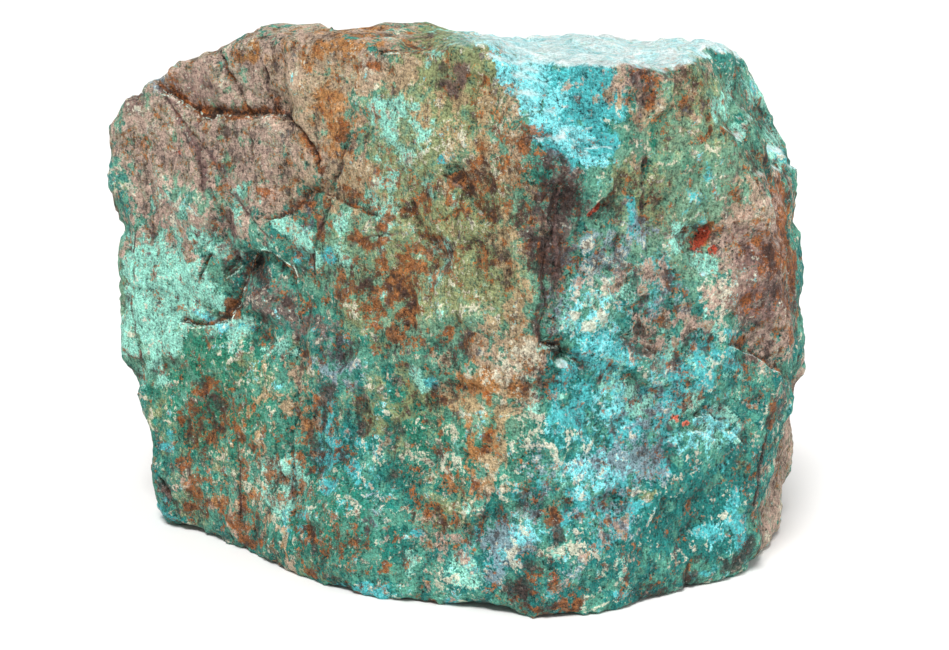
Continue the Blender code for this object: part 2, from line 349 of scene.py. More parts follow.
def grain_heights(points, facings):
    """Chips, dimples and grains over the whole stone, shallower high on the left front face."""
    smooth = on_face(facings, LEFT) * fade((SMOOTH_FROM - points[:, 2]) / SMOOTH_FADE)
    rough = 1 - SMOOTH_SHARE * smooth
    broad = fractal(points, 9 * MM, 3, 1.0) * 0.3 + chips(points, 8.5 * MM, 3.0) * 2.2
    fine = fractal(points, 2.0 * MM, 3, 4.0, weaker=0.8) * 0.24
    broken = chips(points, 4.2 * MM, 2.0) * 1.2
    crumbs = chips(points, 1.7 * MM, 6.0) * 0.6
    return (broad * (1 + rough) / 2 + (fine + broken + crumbs) * rough) * MM


def stone_mesh():
    stone = copy_of_solid("turquoise_stone")
    mesh = stone.data
    soften(mesh, 1)
    refine(mesh, facings_of(mesh)[:, 1] < FRONT)
    soften(mesh, 2)
    for reach in LINE_REACHES:
        refine(mesh, near_marks(points_of(mesh), reach) & (facings_of(mesh)[:, 1] < 0))
        soften(mesh, 1)
    points, facings = points_of(mesh), facings_of(mesh)
    heights = grain_heights(points, facings)
    heights += lip_heights(points, facings) + crack_heights(points, facings) + pit_heights(points, facings)
    place(mesh, np.clip(points + facings * heights[:, None], (*LOW[:2], 0), HIGH))
    mesh.shade_smooth()
    zones_and_painted_light(mesh, heights)
    return stone


# ---------------------------------------------------------------- mineral zones and painted light

PATCH_FLAT = 0.3  # out to this share of its reach a patch is at full strength
PATCH_FADE = 1.2  # and over this much more of it the patch fades out
DRAWN_FROM = -0.12  # patches show in full where the facing's y is below this
DRAWN_FADE = 0.3  # and fade out as it rises by this much
TOP_FROM = 0.85  # the top, painted pale as if lit from above over its own pale colour, is where the facing's z is above this
TOP_FADE = 0.25  # and fades out as it falls by this much
TOP_EDGE = 9 * MM  # the pale top is full to the right of this
TOP_RUN = 12 * MM  # and fades out over this to the left
LIP_HIGHLIGHT_REACH = 0.45 * MM  # a lip's painted highlight reaches this far from its line
FULL_RISE = 0.14  # and is full where the lip stands up this many millimetres

# Each zone's patches: the middle across and up and the reach across and up in millimetres, the strength as
# a percentage, where 100 covers the patch and 50 leaves it half mottled, and the turn in degrees, if any.
PATCHES = {}
PATCHES["host"] = (
    (-47, 68.5, 12.5, 11.5, 100), (-41.5, 77.5, 10, 5.5, 100, 20), (-25.5, 78, 14, 12, 100),
    (-18.5, 83, 12.5, 7.5, 95), (-29, 65, 11, 8, 85), (-51, 57.5, 8.5, 6, 60), (-38, 57, 9, 5, 55),
    (-17, 66, 8, 6, 75), (-9, 83.5, 6, 6.5, 60), (7.5, 76, 4.5, 11.5, 65), (10.5, 61.5, 3.5, 8.5, 50),
    (27.5, 80, 4.5, 6.5, 60), (35, 81, 4.5, 6, 55), (47.5, 54.5, 8.5, 11.5, 100), (43, 47.5, 7, 6, 70),
    (58, 18, 3.5, 15.5, 100, -8), (54.5, 6, 4.5, 10, 95), (50, 41, 5.5, 6.5, 85), (25, 52, 7.5, 6, 40),
    (31.5, 44, 7.5, 4.5, 50), (7.5, 38, 6, 9, 80), (2, 33, 5.5, 6, 60), (4.5, 25.5, 4.5, 7.5, 60),
    (-24.5, 28, 3.5, 9.5, 45), (-33, 21.5, 6, 10, 35), (-36, 10, 7.5, 7.5, 35), (-30, 28, 5, 5, 40),
    (-45.5, 8, 5, 5, 40), (-34, 4, 10, 4, 35, -10), (-1.5, 11, 6, 8, 35), (23, 12, 7.5, 6, 30),
    (-1.5, 76.5, 9, 9, 35), (-4.5, 63, 9, 6, 30), (3, 69.5, 7.5, 9, 40), (9.5, 58.5, 2.5, 13, 60),
    (10, 45, 2.5, 9, 70), (-49.5, 50.5, 12, 3.5, 45),
)
PATCHES["olive"] = (
    (-33.5, 31.5, 8.5, 4, 60), (-24.5, 38, 6.5, 6.5, 40), (-1.5, 60, 7.5, 6, 75), (4.5, 53.5, 7.5, 7.5, 65),
    (-8, 31, 8, 8, 60), (-4.5, 49, 9, 6, 55), (-7.5, 65.5, 6, 9, 65), (1.5, 78.5, 6, 9, 75),
    (-3, 84, 6, 7.5, 70), (9, 51, 3, 7.5, 60), (-32, 83.5, 5, 2.5, 50), (-28.5, 82.5, 2, 2.5, 60),
    (-18.5, 79.5, 4, 2, 55, -20), (-42.5, 33.5, 6.5, 3.5, 40), (-51, 17.5, 4.5, 8.5, 40),
    (-43.5, 6.5, 8.5, 7, 40), (-1.5, 16, 6, 6, 50), (35.5, 78, 6, 7.5, 55), (28, 65.5, 9, 7.5, 50),
    (45, 19, 2.5, 5, 50), (31, 18, 3, 1.5, 60), (-57, 58.5, 3.5, 3.5, 40), (7.5, 84, 3, 6, 65),
    (-7.5, 74.5, 4.5, 10.5, 60), (-14, 54, 6, 6, 45), (-19.5, 34.5, 9.5, 5, 40), (-35, 38, 10, 5, 35),
    (-25, 1.5, 10, 5, 35), (-41.5, 16, 8.5, 7, 40), (-3, 72, 10.5, 12, 70), (-4.5, 56.5, 10.5, 7.5, 60),
    (3, 63.5, 6, 9, 70), (-14, 41.5, 8, 4.5, 50), (-35, 29.5, 10, 5, 45), (35.5, 71, 7.5, 7.5, 45),
    (-9.5, 27.5, 9.5, 8, 60), (-17.5, 29.5, 5, 5, 50),
)
PATCHES["ochre"] = (
    (-31.5, 82, 3, 3, 70), (-19.5, 81, 4.5, 9, 50), (-25, 82.5, 6, 4.5, 40), (-16, 86, 9, 2, 55),
    (-18, 75.5, 6, 7.5, 50), (-17, 69.5, 4.5, 4, 40), (7.5, 71.5, 3.5, 6, 40), (4.5, 34.5, 3, 6, 75),
    (3.5, 27, 2.5, 5.5, 75, -5), (3, 21.5, 3, 2.5, 70), (10.5, 39, 1.5, 6.5, 50), (-24.5, 23, 2, 9.5, 75),
    (-32, 18.5, 2.5, 4, 50), (-1.5, 22.5, 4.5, 2, 50), (0, 14.5, 2, 4, 45), (-39.5, 9, 3.5, 4.5, 60),
    (-33, 7.5, 2.5, 2, 80), (-29.5, 3.5, 4, 1.5, 75), (-22.5, 7, 2, 2.5, 60), (-2.5, 4.5, 2, 1.5, 60),
    (-10.5, 6, 1.5, 2, 80), (48.5, 67, 3, 3, 40), (55, 50, 2.5, 11.5, 50), (23, 15, 1.5, 3, 50),
    (-37.5, 17, 13.5, 13.5, 40), (-1.5, 19.5, 8, 9.5, 40), (-34, 12.5, 11.5, 10, 45),
    (-22.5, 22, 1.5, 11.5, 70), (-24, 9, 2, 6.5, 60), (3, 29.5, 4.5, 9, 50),
)
PATCHES["rust"] = (
    (-45, 76.5, 3, 1, 85, -38), (-40, 73.5, 2, 1, 95, -15), (-33.5, 74, 5, 0.6, 85),
    (-28.5, 74.5, 1, 1.5, 90), (-46.5, 78.5, 1.5, 1.5, 55), (-12, 82, 2.5, 1, 75, 15),
    (-21.5, 69, 1, 3.5, 55, 20), (-20.5, 65.5, 1, 1, 80), (-16.5, 72.5, 1.5, 2.5, 45),
    (1.5, 66.5, 2, 1, 100), (0.5, 64.5, 1, 2, 65), (6, 62, 1, 2, 65), (11.5, 74, 1.5, 1.5, 85),
    (11, 71.5, 1.5, 2, 65), (10.5, 76.5, 1, 2.5, 65), (5, 81, 0.7, 3.5, 55), (-29.5, 61.5, 2, 1.5, 65),
    (-24, 60, 2, 1, 75, 25), (-19.5, 60.5, 1.5, 1.5, 80), (-20.5, 56.5, 1, 3, 70, 10),
    (-15.5, 62.5, 3, 1, 65, -25), (-11, 58.5, 1, 2, 75), (-13, 56, 3.5, 1, 90, 5), (-10, 60, 2, 1, 75),
    (-6, 61, 2.5, 1, 65), (-4, 63, 1.5, 1, 55), (-3, 61, 3, 1, 55), (-2.5, 57.5, 2.5, 1, 70, 10),
    (-9.5, 49.5, 2, 2, 100, -30), (-10.5, 52.5, 1.5, 2, 75), (-6.5, 52.5, 2.5, 2, 80), (-4.5, 55, 2, 1, 65),
    (-5.5, 47, 2, 2.5, 85), (-6, 44, 2, 1.5, 80), (-12, 45, 3, 2, 75), (-17, 46, 2, 2, 70),
    (-17.5, 48, 1.5, 2.5, 55), (-12.5, 48, 2, 1.5, 55), (0, 52, 2, 1, 70), (-3, 49, 2, 2, 45),
    (1.5, 54, 1, 1, 55), (3, 49.5, 1.5, 1.5, 45), (-8.5, 41, 2, 2, 65), (-6, 40.5, 1.5, 1.5, 65),
    (-1, 43, 1, 1, 90), (-4, 41, 1, 1, 65), (-11, 43, 2, 1.5, 55), (-36.5, 41.5, 1.5, 2, 100, 20),
    (-42, 27, 3, 1, 85, 10), (-44.5, 24, 1, 2.5, 80, 15), (-46, 21.5, 1.5, 2, 65),
    (-36, 21, 1.5, 1.5, 95, -20), (-35.5, 19, 1, 1.5, 75), (-46.5, 12.5, 1.5, 2.5, 75),
    (-44.5, 9.5, 2.5, 3.5, 65), (-45.5, 5.5, 3, 1.5, 80), (-41, 7, 1.5, 3.5, 55), (-36, 9, 1, 3.5, 75),
    (-37, 5, 2.5, 1.5, 70), (-35.5, 2.5, 2.5, 1.5, 95), (-30.5, 3.5, 2.5, 1, 65), (-23, 7.5, 1.5, 2, 70),
    (-23, 2, 2, 1, 85), (-17, 4, 1.5, 1, 60), (-10.5, 5.5, 1.5, 1.5, 70), (-35.5, 14, 1.5, 1.5, 55),
    (6, 34.5, 1, 2, 80), (5, 27, 1, 3, 65, -10), (3.5, 20.5, 1.5, 1, 75), (0.5, 21, 1, 1.5, 65),
    (-1.5, 24, 1.5, 1, 55), (-3.5, 0, 1, 1, 55), (29, 80, 1.5, 3.5, 65), (29.5, 82.5, 2, 0.7, 65),
    (27.5, 75, 1.5, 1.5, 75), (37, 73.5, 2, 1, 60, 25), (40, 73.5, 1, 0.6, 55, -20), (43, 64, 2, 1, 55, 30),
    (40, 59, 1.5, 2, 65, 40), (53, 61, 2.5, 3, 65), (53, 55.5, 2.5, 5, 80), (49, 53, 3, 4, 70, -35),
    (55, 48.5, 2, 5, 75), (44.5, 60.5, 2.5, 1, 55, 35), (53.5, 40, 2, 2, 65), (50.5, 28, 1, 4, 70, -10),
    (15.5, 17, 1.5, 1.5, 65), (15, 6.5, 1, 1.5, 80), (16.5, 3, 2, 1, 65, 10), (20, 1.5, 1, 1.5, 75, -20),
    (12, 2, 2, 0.6, 55), (34, 38, 1.5, 1, 55), (36.5, 36, 1, 1, 65), (-3, 58.5, 12, 12, 35),
    (7.5, 70, 6, 11.5, 35), (-9, 67, 9, 7.5, 30), (-35.5, 17.5, 15, 15, 35), (-19.5, 10, 9.5, 9.5, 35),
    (-1.5, 16, 9.5, 9.5, 35), (48, 56, 5.5, 7.5, 40), (44.5, 47, 4.5, 4.5, 40), (-9, 48.5, 2, 4, 100, -15),
    (-7, 50, 4.5, 3.5, 60), (-3, 55, 6, 3, 45), (-14, 46, 4.5, 4.5, 50), (4.5, 67, 3, 4.5, 45),
    (52, 49, 3, 11, 45), (50.5, 61, 3, 4.5, 45),
)
# Some umber patches paint shade: in the groove right of the front edge (across 13 to 19, up 43 to 70), in
# the hollow under the flake lip, and in two small pits at (16.5, 40) and (28.5, 44). The rest is brown
# matrix.
PATCHES["umber"] = (
    (-1.5, 82, 1.5, 3, 50), (3, 85, 1.5, 2.5, 45), (3, 77, 2, 2, 40), (-24.5, 49, 3, 2, 50, -10),
    (-31.5, 47.5, 2.5, 1.5, 75), (-27, 44.5, 3, 2, 60), (13.5, 54.5, 2, 2.5, 70), (15, 54, 2, 1.5, 60),
    (13, 48.5, 1, 4.5, 60), (16, 59.5, 2, 3, 50), (18.5, 62.5, 0.6, 4.5, 70), (15, 43, 1.5, 1, 95, -30),
    (16.5, 40, 0.6, 0.4, 95), (28.5, 44, 1, 1, 95), (3, 29, 1.5, 2, 70), (3.5, 33, 1, 1.5, 50),
    (-40, 24.5, 2.5, 1.5, 55), (-19.5, 31, 1.5, 1.5, 75), (-18.5, 37.5, 2, 2.5, 40), (-16, 38, 2, 1.5, 50),
    (-13.5, 29.5, 2, 2, 40), (-9.5, 32, 3, 2.5, 45), (-8, 26.5, 3, 2, 50), (-10.5, 19.5, 2, 3, 45),
    (-13, 13, 1.5, 2.5, 50), (-50.5, 8, 1, 1.5, 80, -30), (-36, 8.5, 0.7, 2, 50), (28.5, 41, 2, 1.5, 50),
    (30.5, 37.5, 2, 3, 50), (35, 39.5, 1, 2, 55), (27, 42, 2, 1, 50), (22.5, 24, 1, 2, 50),
    (31, 15, 2, 2.5, 45), (29.5, 11.5, 2, 2.5, 45), (6, 1, 1, 3, 70), (10.5, 5, 2, 2, 70),
    (8.5, 0.5, 2.5, 1, 60), (12, 8.5, 1.5, 1.5, 50), (9.5, 17.5, 1.5, 2, 50),
    (16.5, 14, 1.5, 2.5, 100, -25), (45.5, 3.5, 3.5, 2.5, 95, 15), (39.5, 5, 2, 1.5, 60),
    (38, 2, 3, 1.5, 70, 10), (48, 5.5, 2, 2.5, 90), (33, 1, 2, 1, 60), (26.5, 17.5, 1.5, 1, 60),
    (49.5, 26, 1, 2, 60), (48.5, 38, 2.5, 1.5, 40), (49.5, 44.5, 3, 2, 35), (27.5, 84, 1.5, 1, 60),
    (30, 77, 0.7, 1, 50), (28, 79.5, 1, 2.5, 50), (16, 66, 3, 6.5, 60), (14.5, 57.5, 2.5, 5, 50),
    (22.5, 44.5, 1.5, 1.5, 50), (-3, 63, 13.5, 13.5, 30), (-8, 48.5, 9, 6, 30), (7.5, 64, 4.5, 11.5, 30),
    (25, 64, 6, 9, 30), (49.5, 49.5, 4.5, 7.5, 45), (-9.5, 27.5, 9.5, 8, 40),
)
# Some mauve patches paint shade: in the groove right of the front edge (across 13 to 17, up 45 to 70) and in
# the hollow under the flake lip. The rest is mauve vein and host colour.
PATCHES["mauve"] = (
    (-29, 43.5, 6.5, 5, 70), (-22.5, 40, 5, 3, 60), (0.5, 82, 2, 3, 75), (16, 61.5, 3.5, 7.5, 60),
    (28, 81, 2, 4.5, 75), (48, 46.5, 6, 5.5, 80), (54.5, 44, 2.5, 6.5, 60), (44, 56.5, 4.5, 3, 50),
    (-17, 37, 3.5, 2, 55, -20), (-19.5, 32, 2.5, 1.5, 50), (-42, 26, 3.5, 1.5, 50, 10),
    (32, 38, 4, 2.5, 55), (28.5, 44, 2, 2, 35), (-47.5, 56, 3.5, 3.5, 50), (-36, 50.5, 3.5, 2.5, 50),
    (-42.5, 76.5, 5, 4, 50), (-50.5, 75.5, 3.5, 1.5, 40), (-40.5, 69, 1, 5.5, 50, 15),
    (-29, 66, 2, 5.5, 35), (-41.5, 55, 5, 3.5, 35), (19.5, 64, 1.5, 3, 40, 10), (10.5, 4, 2, 2, 50),
    (-41.5, 6.5, 3.5, 2, 50), (48.5, 39.5, 4.5, 2, 50), (52.5, 29, 2, 5, 50, -10), (-10.5, 31, 4, 2.5, 40),
    (-53.5, 74.5, 4, 2.5, 60, 20), (16, 64.5, 3, 8.5, 75), (13.5, 59, 3, 6, 60),
    (-45.5, 72, 1, 3.5, 75, 25), (-42.5, 67, 1, 3.5, 85, 20), (-40.5, 62.5, 0.7, 3.5, 85, 5),
    (-38.5, 65, 3.5, 0.7, 75, -45), (-34.5, 60, 3.5, 0.6, 75, -50), (-36.5, 55.5, 0.7, 3.5, 75, 10),
    (-36.5, 80, 0.6, 2.5, 60, 10), (-47, 75, 2, 1, 70, -30), (28, 71, 2.5, 7.5, 40),
    (35.5, 76.5, 4.5, 4.5, 35), (42, 66, 3, 6, 35), (31, 62, 2.5, 6, 40), (15.5, 58.5, 2.5, 11.5, 80),
    (15, 50, 2, 7.5, 50), (47.5, 51.5, 6, 9, 60),
)
PATCHES["lavender"] = (
    (-17.5, 34.5, 4, 4, 60), (-18.5, 38.5, 2, 3, 50), (-22.5, 35, 2.5, 1.5, 50), (-12, 14.5, 2.5, 5, 40),
    (26, 23.5, 7, 4, 80), (30.5, 21.5, 4, 3, 60), (21, 23.5, 4.5, 3, 60), (9, 11.5, 4, 4.5, 85, -35),
    (7.5, 8, 2, 4.5, 80, -35), (12, 19, 2.5, 3, 60), (13.5, 24, 3.5, 4.5, 50), (29, 29.5, 4, 2, 50),
    (22, 57, 6, 6, 45), (28, 59.5, 3, 4.5, 45), (33, 48.5, 4.5, 3, 40), (26, 13, 3, 3, 40),
    (-24, 58.5, 4, 2, 40), (18, 7.5, 2.5, 2, 45), (-49, 77, 3.5, 1.5, 50, 15), (-22.5, 57, 2.5, 3, 40),
    (16.5, 71.5, 2, 1, 50, -10), (23, 18, 6, 6, 40), (16, 48.5, 4.5, 4.5, 40), (29, 32.5, 6, 4.5, 40),
)
PATCHES["pale"] = (
    (-51.5, 44, 7, 7.5, 100), (-45.5, 43, 6.5, 7.5, 90), (-55, 35, 3.5, 7, 85), (-52.5, 28, 4.5, 3.5, 60),
    (-40.5, 42, 4, 4, 60), (-36, 39, 3.5, 1.5, 90), (-48, 36, 7, 2.5, 75), (-52.5, 50, 3.5, 3.5, 70),
    (-32, 60, 3, 2.5, 50, -35), (-27.5, 56.5, 4, 2, 75, -35), (-24, 54, 4, 1.5, 85, -30),
    (-34.5, 63, 2, 2.5, 60, -40), (-36.5, 54.5, 2.5, 5, 50), (-31, 52.5, 2.5, 2, 60),
    (-10.5, 76, 2, 1.5, 80), (-6, 79.5, 2.5, 6, 40), (-10, 67, 2, 5.5, 40), (-3, 85.5, 2.5, 3.5, 30),
    (1.5, 62, 1, 3.5, 50, 10), (-7.5, 59, 5.5, 1, 70, -5), (-1.5, 57, 2, 3, 60, 20), (-3, 52, 4.5, 4.5, 40),
    (-11, 48, 1.5, 1, 70), (-15.5, 57, 2.5, 4, 50), (-6.5, 36, 2, 1.5, 70), (-4.5, 35, 3, 1, 80),
    (-27.5, 16, 5, 4, 60), (-29.5, 10.5, 4, 4, 50), (-20.5, 22.5, 2.5, 2.5, 50), (-24, 12, 2.5, 3.5, 50),
    (2, 6.5, 3, 2.5, 75), (-1, 1.5, 2, 1.5, 70), (2, 16, 1, 1, 85), (-6.5, 5.5, 2, 3, 45),
    (12, 44, 2.5, 2.5, 50), (12, 34.5, 1, 9, 50), (19.5, 39, 3, 1, 70, -20), (25.5, 35.5, 4, 1.5, 80, -15),
    (28, 37, 2.5, 1, 60), (41.5, 77, 2.5, 4, 50, -40), (49.5, 76.5, 5, 1.5, 70, -55),
    (53, 68, 4, 2.5, 75, -55), (45, 73.5, 1.5, 4, 50, -40), (34.5, 58.5, 2, 3.5, 75, -40),
    (38, 54, 3, 2, 70, -45), (38, 48, 2, 4.5, 40), (30, 76.5, 1.5, 0.6, 90, 10), (41.5, 42.5, 4, 1.5, 55),
    (40.5, 39, 4, 2.5, 50), (45, 35, 4, 2, 45), (35.5, 28, 2, 2.5, 50), (39.5, 26.5, 4, 2.5, 90, -20),
    (42, 28.5, 2.5, 1.5, 90, -25), (45.5, 25.5, 1.5, 1.5, 60), (16.5, 23.5, 3, 2, 40), (18.5, 20, 4, 2, 40),
    (16.5, 11, 4, 1.5, 60), (26.5, 6.5, 2, 2, 40), (24, 33.5, 1.5, 2, 50), (15.5, 35, 1, 0.7, 80),
    (30, 41, 9, 6, 45), (32, 32.5, 9, 6, 50), (-51.5, 39, 7, 10.5, 100), (22, 49.5, 7.5, 6, 50),
    (-43.5, 53, 8.5, 4.5, 60), (-51.5, 53.5, 5, 3.5, 50), (-49.5, 47.5, 8.5, 7, 90),
    (-36.5, 51, 6.5, 3.5, 50), (-19, 52, 8, 4.5, 35), (-38, 37.5, 6.5, 3.5, 50), (-28, 39, 6.5, 5, 40),
    (-7.5, 73, 6, 9, 50), (-10, 62, 4.5, 7.5, 45), (-1.5, 57, 3, 9, 40), (-47.5, 57.5, 10, 3.5, 45),
)
PATCHES["bright"] = (
    (19, 79.5, 7.5, 7.5, 95), (16.5, 76, 5, 6, 95), (20.5, 72.5, 4.5, 2.5, 95, -10), (-3, 35.5, 2, 1, 90),
    (-40, 38, 2.5, 1.5, 70), (-35, 38, 2.5, 1.5, 60), (-19, 53, 2, 1.5, 70, -20),
    (-24, 51, 3, 1.5, 60, -25), (-1, 70, 1.5, 1, 70), (-39, 63.5, 1, 1.5, 75, -30),
    (-49, 15.5, 2.5, 1.5, 80), (-48, 18, 1.5, 1.5, 60), (-19.5, 21, 2.5, 5, 65), (-19.5, 16, 2.5, 2.5, 60),
    (-21, 27.5, 2, 3, 50), (-12.5, 1.5, 5, 1.5, 90, -6), (-16.5, 0, 2.5, 1.5, 80, -10),
    (-5, 11.5, 1.5, 1, 95), (0, 0, 2, 1, 70, -8), (-51, 2.5, 2, 3.5, 70), (18, 32.5, 4.5, 2.5, 85),
    (22.5, 42.5, 4.5, 3, 80, -15), (18.5, 41.5, 1, 1, 90), (25.5, 43, 2, 2.5, 50), (44, 41.5, 2, 1, 80),
    (45.5, 36.5, 4, 2, 50), (29, 34, 4.5, 1, 60), (32, 26, 3, 1.5, 50), (45.5, 10, 2.5, 5, 85, 10),
    (41, 9.5, 2.5, 1.5, 90), (32.5, 22, 2, 1.5, 75), (29, 17, 2.5, 1.5, 75, -10),
    (42.5, 19.5, 1.5, 4.5, 40), (39.5, 2.5, 2, 1, 70, 10), (43, 4, 2, 1.5, 60), (23, 10.5, 3, 3, 60),
    (13.5, 4.5, 1.5, 1, 50), (26, 3, 2.5, 1, 60), (9.5, 20, 1.5, 2, 60), (4.5, 14, 2, 3, 50),
    (15, 21.5, 4, 2, 50), (27, 61.5, 1, 3, 60), (48, 62, 1.5, 1, 60), (53.5, 66.5, 2.5, 1.5, 70),
    (49, 78, 2.5, 1.5, 70, -35), (22.5, 38.5, 10.5, 9, 50), (36.5, 37, 9, 9, 50), (16.5, 30, 7.5, 6, 35),
    (23, 18, 9, 9, 50), (4.5, 7.5, 7.5, 6, 40), (29, 29.5, 9, 4.5, 60), (28.5, 53.5, 6, 6, 40),
    (37.5, 63, 3, 7.5, 35), (20.5, 52.5, 4.5, 4.5, 40), (28.5, 48.5, 9, 7.5, 40), (22.5, 40, 7.5, 6, 55),
    (-20.5, 22.5, 2.5, 8, 60), (-16, 18.5, 5, 6.5, 40), (-25, 11.5, 3.5, 6.5, 40),
)
# The ice patches along the scoop (across 7 to 21, up 70 to 87) paint its floor as lit from above, over its
# own pale blue.
PATCHES["ice"] = (
    (9.5, 84, 3.5, 3.5, 95), (12, 81, 2.5, 4.5, 90, -35), (14.5, 77, 3, 4, 95, -40),
    (17, 73.5, 3, 2, 95, -20), (20.5, 70.5, 3, 1, 95, -10), (42, 27.5, 2.5, 1.5, 80, -25),
    (44.5, 25.5, 1.5, 1.5, 70, -30), (26, 35.5, 2, 1, 60, -15), (-40, 38, 3.5, 0.7, 80),
    (7.5, 86.5, 2.5, 1.5, 80), (22.5, 44, 9, 6.5, 40), (25.5, 33, 7.5, 6, 40), (37, 27, 7, 4, 50),
    (22.5, 22.5, 7.5, 6, 35), (17.5, 49.5, 4.5, 4.5, 40), (10.5, 13.5, 6, 6, 35),
)
# The broad deep patches low on the left front face (across -50 to -15, up 15 to 40) are partly painted
# shade, as if that part faced down, over its own deep teal. (22, 80) and (22, 72.5) darken the scoop's wall
# as painted shade.
PATCHES["deep"] = (
    (-43.5, 29.5, 5, 2.5, 50), (-35, 34.5, 4, 2, 60), (-38.5, 23.5, 5, 4, 75), (-46.5, 22, 3.5, 3.5, 60),
    (-37.5, 20, 6.5, 4, 55), (-31.5, 49, 3.5, 1.5, 70), (-24, 50.5, 4, 1.5, 50, -25),
    (-14, 41.5, 2.5, 4, 40), (-11, 35.5, 2, 1.5, 50), (-16, 23, 2, 5, 70), (-14.5, 15.5, 1.5, 4, 95),
    (-6.5, 17, 2, 2.5, 80), (-8, 20, 4.5, 4, 60), (-3.5, 17.5, 3, 2, 60), (-21.5, 12.5, 4, 6.5, 40),
    (-17, 9, 2.5, 8, 40), (-27.5, 19, 1, 4, 80), (22, 80, 3.5, 3.5, 60), (22, 72.5, 2.5, 0.7, 50, -20),
    (18, 36, 4.5, 4.5, 70), (16.5, 30, 3.5, 3.5, 60), (31, 74, 1, 3.5, 60), (29.5, 69.5, 1, 2, 70),
    (35.5, 69.5, 3, 3, 35), (43.5, 72.5, 1.5, 3, 50), (47.5, 64.5, 1.5, 1.5, 50), (26, 48.5, 1.5, 1, 80),
    (35, 36.5, 1, 1, 80), (39.5, 14.5, 9.5, 8, 85), (32.5, 11, 6.5, 6.5, 80), (44, 19, 2, 5.5, 80),
    (35.5, 20.5, 4, 3, 70), (29.5, 7.5, 4.5, 4.5, 70), (39.5, 6.5, 6.5, 3, 80), (31, 2, 2.5, 1, 70),
    (49, 21.5, 1.5, 4, 60), (21, 27.5, 4, 3, 50), (47, 32, 4, 4, 40), (12, 26.5, 2, 4.5, 50),
    (7.5, 18, 2, 3, 50), (-39, 34, 13.5, 10, 60), (-24.5, 39.5, 9.5, 8, 50), (-47, 16.5, 10.5, 10.5, 50),
    (-28, 24.5, 13, 10, 50), (-19.5, 16, 9.5, 9.5, 55), (-25, 3.5, 13, 5, 55), (-6.5, 26.5, 9.5, 9.5, 50),
    (21, 29, 9, 6, 50),
)
PATCHES["cream"] = (
    (-8, 86.5, 1.5, 0.6, 60, 15), (7.5, 77, 2.5, 4.5, 40), (9, 84, 1.5, 2, 50), (6.5, 67, 3, 6, 40),
    (9.5, 38.5, 3.5, 6.5, 55), (12, 41, 2, 7.5, 70), (4.5, 36.5, 3, 4, 40), (17, 46.5, 3, 2, 45),
    (25.5, 36.5, 2.5, 1, 50), (29, 35.5, 2.5, 1, 50), (-31, 13.5, 5, 6, 35), (-33.5, 18, 4, 3.5, 25),
    (-3, 22.5, 4.5, 3, 40), (-1.5, 29, 3, 3, 30), (15, 25.5, 3.5, 3, 40), (26, 18.5, 3, 1.5, 40),
    (21, 15, 1.5, 3, 45), (16.5, 11, 4.5, 2, 60), (23, 6.5, 3, 2.5, 25), (26.5, 6.5, 1.5, 2, 35),
    (-1, 4, 3, 2, 35), (-19.5, 26, 2, 2, 35), (-39, 80.5, 2.5, 4, 35), (-34, 84.5, 4, 2, 40),
    (-23, 14, 2.5, 4, 20), (22, 48, 7.5, 6, 45), (-1.5, 63.5, 9, 12, 30), (3, 52, 6, 6, 30),
    (22, 54, 6, 6, 35), (11, 61.5, 1, 11.5, 40), (13, 42.5, 1, 6, 50), (12, 30, 1.5, 6, 50),
    (10.5, 18.5, 1.5, 6, 50), (9, 6.5, 2, 4.5, 50),
)
PATCHES["red"] = (
    (38, 57.5, 1.5, 2, 95, -30), (39.5, 55, 1, 1, 65), (21.5, 64, 0.7, 1, 95), (20.5, 62.5, 0.7, 1, 70),
    (31, 76.5, 0.6, 0.6, 60), (-45.5, 66, 0.7, 0.5, 70), (15, 7.5, 1, 0.6, 45),
)
PATCHES["coral"] = (
    (34.5, 30.5, 1, 0.5, 95, -35), (36, 29, 1, 0.6, 100, -30),
)
PATCHES["green"] = (
    (-39, 27, 17, 15, 100), (-7.5, 54.5, 18.5, 18.5, 100), (-25, 11.5, 18, 10, 70),
    (-1.5, 29, 11, 12.5, 80), (0, 75, 13.5, 13.5, 100), (34, 71, 13.5, 12, 80), (7.5, 57, 9, 17.5, 100),
    (4.5, 30, 9, 10.5, 100), (-18.5, 77, 9.5, 9.5, 60),
)
PATCHES["calm"] = (
    (-3, 73.5, 12, 15, 80), (35.5, 72.5, 10.5, 12, 90), (-48, 41, 10, 8.5, 80),
    (-41, 70.5, 19.5, 14.5, 100), (-23.5, 75, 12.5, 12.5, 80), (36, 64.5, 13.5, 16.5, 90),
    (28, 55, 9, 9, 50), (-4.5, 53.5, 18.5, 15, 100), (7.5, 57, 6, 13, 100), (6, 35, 7.5, 9, 70),
    (-51.5, 40.5, 10, 12, 100),
)
PATCHES["fresh"] = (
    (20.5, 77.5, 7.5, 8, 100), (39.5, 14.5, 11, 9.5, 60), (16.5, 31.5, 6, 6, 40),
    (29.5, 13.5, 9.5, 7.5, 50), (-51.5, 42.5, 8.5, 10, 40),
)

